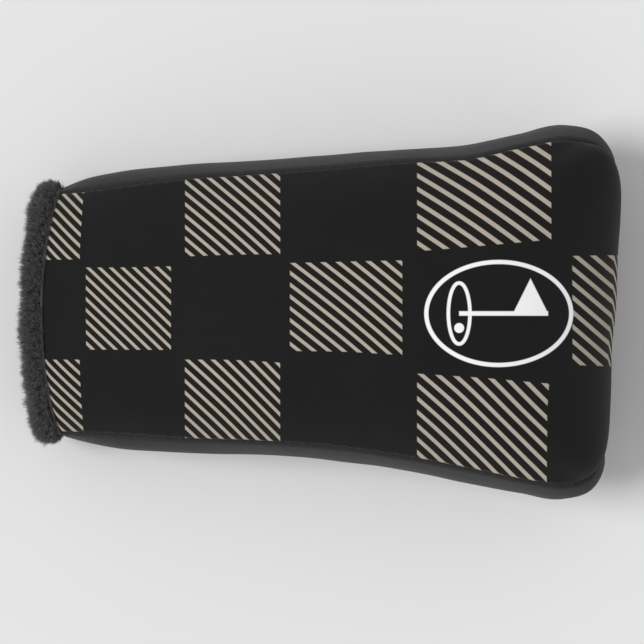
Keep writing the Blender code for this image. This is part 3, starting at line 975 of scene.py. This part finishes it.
STRAND_LEVELS = np.array([0.0, 0.36, 0.72, 1.0])
STRAND_WIDTHS = np.array([1.0, 0.9, 0.62, 0.12])
STRAND_REACH = (0.65, 1.2)  # the shortest and longest strand, as a share of the pile's length
STRAND_STRAY = 0.28
STRAND_BEND = 0.16
STRAND_ARCH = 0.8
CLUMP_PULL = (0.5, 1.0)  # the weakest and strongest pull, as a share of the pile's clumping
FLOOR_STRAY = 0.6  # strands that would pass the floor end up to this far above it


def scatter(points, normals, count, weight, rng):
    """Random places on a grid's faces, spread by area times weight, and the normals there."""
    a, b, c = points[:-1, :-1], points[1:, :-1], points[:-1, 1:]
    area = np.linalg.norm(np.cross(b - a, c - a), axis=-1) * weight[:-1, :-1]
    chosen = rng.choice(area.size, size=count, p=(area / area.sum()).ravel())
    i, j = np.unravel_index(chosen, area.shape)
    f, g = rng.random((2, count, 1))

    def between(grid):
        near = grid[i, j] * (1 - f) * (1 - g) + grid[i + 1, j] * f * (1 - g)
        return near + grid[i, j + 1] * (1 - f) * g + grid[i + 1, j + 1] * f * g

    return between(points), unit(between(normals))


def pile(name, roots, normals, strand, lean, rng, material):
    """A ribbon on each root, its tip leaning and pulled to the tip of the clump that it belongs to."""
    length, width, clumping, per_clump = strand
    count = len(roots)
    reach = length * rng.uniform(*STRAND_REACH, (count, 1))
    loose = rng.normal(0.0, 1.0, (count, 3))
    tips = roots + (normals + lean + loose * STRAND_STRAY) * reach
    heads = rng.choice(count, size=max(1, count // per_clump), replace=False)
    tree = kdtree.KDTree(len(heads))
    for index, head in enumerate(heads):
        tree.insert(roots[head], index)
    tree.balance()
    own = heads[[tree.find(place)[1] for place in roots]]
    tips += (tips[own] - tips) * clumping * rng.uniform(*CLUMP_PULL, (count, 1))

    bend = rng.normal(0.0, STRAND_BEND, (count, 3)) * reach
    levels = STRAND_LEVELS[None, :, None]
    arch = levels * (1 - levels)
    spine_line = roots[:, None] * (1 - levels) + tips[:, None] * levels
    spine_line += bend[:, None] * (4 * arch) + normals[:, None] * arch * STRAND_ARCH
    side = unit(np.cross(tips - roots, rng.normal(0.0, 1.0, (count, 3))))
    half = side[:, None] * (STRAND_WIDTHS * width / 2)[None, :, None]
    points = np.stack([spine_line - half, spine_line + half], axis=2).reshape(-1, 3)
    points[:, 2] = np.maximum(points[:, 2], FLOOR_CLEARANCE + FLOOR_STRAY * rng.random(len(points)))

    steps = len(STRAND_LEVELS)
    first = np.arange(count)[:, None] * steps * 2 + np.arange(steps - 1)[None, :] * 2
    first = first.ravel()
    faces = np.stack([first, first + 1, first + 3, first + 2], axis=1).tolist()
    obj = mesh_object(name, points, faces)
    chance = np.repeat(rng.random(count), steps * 2)
    along = np.tile(np.repeat(STRAND_LEVELS, 2), count)
    point_attribute(obj, "strand", along, chance, 0 * chance)
    finish_piece(obj, material)


# ---------------------------------------------------------------------------------------------------------
# The plush cuff round the mouth, and the lining.

MOUTH_SAMPLES = 200
MOUTH_SIDE_SAMPLES = 80
CUFF_LENGTH = 6.2
CUFF_DEPTH = 12.0
CUFF_OUTSET = 0.2
CUFF_GAP = 0.3
CUFF_CORNER_Y = 50.0
CUFF_CORNER_REACH = 10.0
CUFF_CORNER_LENGTH = 0.3
CUFF_CORNER_DEPTH = 0.12
CUFF_AROUND = 420
CUFF_SECTION = 60
CUFF_SQUARENESS = 0.8
CUFF_EASING = 24
CUFF_LUMPS = ((1.0, 13.0, 21.0), (0.7, 5.5, 4.0))  # height, wavelength and seed
CUFF_LOWEST = 0.8
# Length, width, pull towards the clump and strands in a clump.
CUFF_STRAND = (3.0, 0.20, 0.6, 18)
LINING_STRAND = (4.2, 0.36, 0.5, 14)
CUFF_LEAN = np.array([-0.45, 0.0, -0.05])
LINING_LEAN = np.array([-0.35, 0.0, 0.0])
CUFF_STRANDS = (31000, 8000)
PANEL_LINING_STRANDS = (21000, 5000)
GUSSET_LINING_STRANDS = (12000, 3000)
SEWN_SIDE = 0.75  # the cuff faces the shell where its normal points this much along X
SEWN_SIDE_WEIGHT = 0.25
LINING_DEPTH = 8.2
LINING_BODY = 4.2
LINING_EDGE = 0.955
LINING_START = 0.5
LINING_EASING = 30
LINING_TUFTS = ((0.9, 5.0, 0.0), (0.5, 2.2, 3.0))  # height, wavelength and seed
LINING_GRID = (130, 96, 1.2)  # columns, rows and how the rows crowd
LINING_PILE_REACH = 45.0  # the pile thins out this far in from the mouth, where it can't be seen
GUSSET_LINING_ROWS = np.linspace(0.07, 0.93, 25)
GUSSET_LINING_ALONG = 401


def mouth_loop(samples):
    """The closed edge of the shell's mouth, evenly spaced, and its inward directions across X."""
    across = np.linspace(-1.0, 1.0, MOUTH_SAMPLES)
    ends = np.where(across > 0, 1.0, 0.0)
    front = front_point(ends, np.abs(across))
    back = back_point(ends, np.abs(across))[::-1]
    rise = np.linspace(0.0, 1.0, MOUTH_SIDE_SAMPLES)[1:-1]
    high_side = gusset_point(np.ones_like(rise), rise)[::-1]
    low_side = gusset_point(np.zeros_like(rise), rise)
    loop = np.concatenate([front, high_side, back, low_side])
    closed = np.concatenate([loop, loop[:1]])
    path = walked_length(closed)
    even = np.linspace(0.0, path[-1], samples, endpoint=False)
    points = read_along(even, path, closed)
    along = np.roll(points, -1, axis=0) - np.roll(points, 1, axis=0)
    inward = np.stack([np.zeros(samples), along[:, 2], -along[:, 1]], axis=1)
    return points, unit(inward)


def cuff_grid():
    """The cuff's ground as a closed ring of closed sections, and its outward normals."""
    loop, inward = mouth_loop(CUFF_AROUND)
    for _ in range(CUFF_EASING):
        inward = (inward + np.roll(inward, 1, axis=0) + np.roll(inward, -1, axis=0)) / 3
    inward = unit(inward)
    turn = np.arange(CUFF_SECTION) * 2 * math.pi / CUFF_SECTION
    across = np.copysign(np.abs(np.cos(turn)) ** CUFF_SQUARENESS, np.cos(turn))[None, :, None]
    along = np.copysign(np.abs(np.sin(turn)) ** CUFF_SQUARENESS, np.sin(turn))[None, :, None]
    corner = np.exp(-(((np.abs(loop[:, 1]) - CUFF_CORNER_Y) / CUFF_CORNER_REACH) ** 2))
    length = CUFF_LENGTH * (1 + CUFF_CORNER_LENGTH * corner)
    depth = CUFF_DEPTH * (1 + CUFF_CORNER_DEPTH * corner)
    centre = loop + inward * (CUFF_OUTSET + CUFF_DEPTH / 2)
    centre[:, 0] -= CUFF_GAP + length / 2
    points = centre[:, None] - inward[:, None] * across * depth[:, None, None] / 2
    points[..., 0] -= along[..., 0] * length[:, None] / 2
    normals = unit(points - centre[:, None])
    lumps = sum(height * field(points, wavelength, seed) for height, wavelength, seed in CUFF_LUMPS)
    points = points + normals * lumps[..., None]
    points[..., 2] = np.maximum(points[..., 2], CUFF_LOWEST)
    return points, normals


def closed_copy(grid):
    grid = np.concatenate([grid, grid[:1]], axis=0)
    return np.concatenate([grid, grid[:, :1]], axis=1)


def make_cuff(ground, hairs):
    points, normals = cuff_grid()
    obj = grid_object("plush_cuff_roll", points, wrap_columns=True, wrap_rows=True)
    finish_piece(obj, ground, ["plush_cuff"])
    rng = np.random.default_rng(11)
    grid, facing = closed_copy(points), closed_copy(normals)
    weight = np.where(facing[..., 0] > SEWN_SIDE, SEWN_SIDE_WEIGHT, 1.0)
    for name in ("plush_cuff_pile_a", "plush_cuff_pile_b"):
        roots, normal = scatter(grid, facing, CUFF_STRANDS[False], weight, rng)
        pile(name, roots, normal, CUFF_STRAND, CUFF_LEAN, rng, hairs)


def lining_surface(points, outward_sign, seed):
    """The pile side of a lining: the shell's surface moved in, eased where it would fold, and tufted."""
    normals = grid_normals(points) * outward_sign
    inner = eased_corners(relaxed(points - normals * LINING_DEPTH, LINING_EASING))
    tufts = sum(height * field(inner, wavelength, seed + extra) for height, wavelength, extra in LINING_TUFTS)
    return inner + normals * tufts[..., None], normals


def make_linings(ground, hairs):
    columns, rows, crowd = LINING_GRID
    front = panel_grid(lambda s, rho: front_point(s, rho * LINING_EDGE), columns, rows, crowd)
    back = panel_grid(lambda s, rho: back_point(s, rho * LINING_EDGE), columns, rows, crowd)
    s = np.linspace(0.0, 1.0, GUSSET_LINING_ALONG)[:, None]
    side = gusset_point(*np.broadcast_arrays(s, GUSSET_LINING_ROWS[None, :]))
    rng = np.random.default_rng(29)
    for name, grid, sign, seed, strands in (
        ("front_lining", front, 1.0, 1.0, PANEL_LINING_STRANDS),
        ("back_lining", back, -1.0, 5.0, PANEL_LINING_STRANDS),
        ("gusset_lining", side, 1.0, 9.0, GUSSET_LINING_STRANDS),
    ):
        inner, normals = lining_surface(grid, sign, seed)
        inner[..., 0] += LINING_START
        obj = grid_object(name + "_plush", inner, flip=sign < 0)
        thicken(obj, LINING_BODY, offset=1.0)
        finish_piece(obj, ground, [name])
        near_mouth = np.exp(-np.clip(inner[..., 0] - MOUTH_X, 0.0, None) / LINING_PILE_REACH)
        roots, normal = scatter(inner, -normals, strands[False], near_mouth, rng)
        pile(name + "_pile", roots, normal, LINING_STRAND, LINING_LEAN, rng, hairs)


# ---------------------------------------------------------------------------------------------------------
# The scene.


def main():
    make_camera()
    make_studio()
    make_key_light()
    neoprene = printed_neoprene("printed_neoprene", emblem=True)
    neoprene_back = printed_neoprene("printed_neoprene_back", emblem=False)
    jersey = brushed_jersey()
    backing = foam_backing()
    ground = plush_ground()
    hairs = plush("plush_pile", (0.040, 0.039, 0.041), (0.180, 0.169, 0.167))
    hidden_hairs = plush("plush_lining_pile", (0.020, 0.020, 0.0205), (0.085, 0.081, 0.080))
    black_thread = thread_material("thread_black", (0.006, 0.006, 0.006), (0.018, 0.018, 0.019))
    grey_thread = thread_material("thread_grey", (0.045, 0.045, 0.048), (0.095, 0.095, 0.100))

    shell_panel("front_panel_shell", front_point, FRONT_SEAM, 1.0, False, neoprene, backing)
    shell_panel("back_panel_shell", back_point, BACK_SEAM, 2.0, True, neoprene_back, backing)
    shell_gusset(jersey, backing)

    make_stitches(black_thread, grey_thread)
    make_cuff(ground, hairs)
    make_linings(ground, hidden_hairs)
    declare_sheets()


main()
